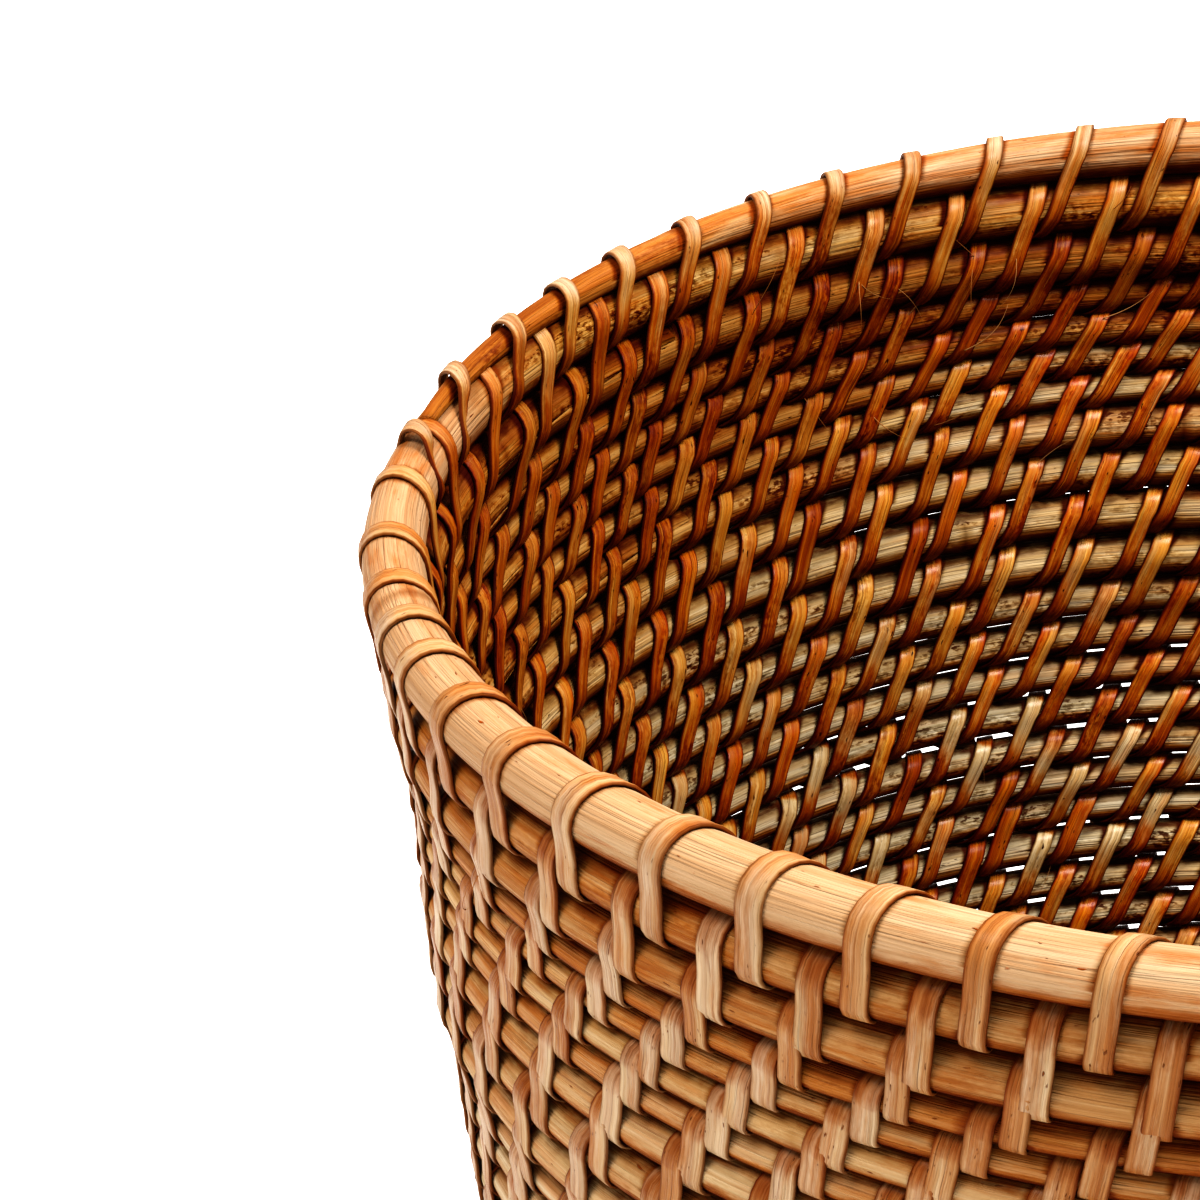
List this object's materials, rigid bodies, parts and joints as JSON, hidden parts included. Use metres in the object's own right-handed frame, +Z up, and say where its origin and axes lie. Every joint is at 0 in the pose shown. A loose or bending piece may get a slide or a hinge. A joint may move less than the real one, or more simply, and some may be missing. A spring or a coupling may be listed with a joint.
{
  "type": "coiled rattan planter",
  "caption": "Round open planter of coiled rattan cane with a flat floor, a wall that leans outwards and a rim lashed with split cane; it holds a plant in its pot.",
  "frame": {"origin": "on the planter's axis, in the plane that it stands on", "axes": "+Z up along the planter's axis; the picture looks along +Y and down, with +X to its right"},
  "size_m": [0.2892, 0.2904, 0.2339],
  "materials": {
    "rim_cane": "smooth natural rattan cane, satin",
    "wall_cane": "natural rattan cane with fine grain, satin",
    "floor_cane": "natural rattan cane with fine grain, matt",
    "lashing_strip": "split rattan skin, glossy amber"
  },
  "bodies": {
    "root": {"base_cane_1": "floor_cane", "base_cane_2": "floor_cane", "wall_cane_1": "wall_cane", "wall_cane_2": "wall_cane", "wall_cane_3": "wall_cane", "wall_cane_4": "wall_cane", "wall_cane_5": "wall_cane", "wall_cane_6": "wall_cane", "wall_cane_7": "wall_cane", "wall_cane_8": "wall_cane", "wall_cane_9": "wall_cane", "rim_cane": "rim_cane", "rim_lashing_1": "lashing_strip", "rim_lashing_2": "lashing_strip"}
  },
  "joints": []
}
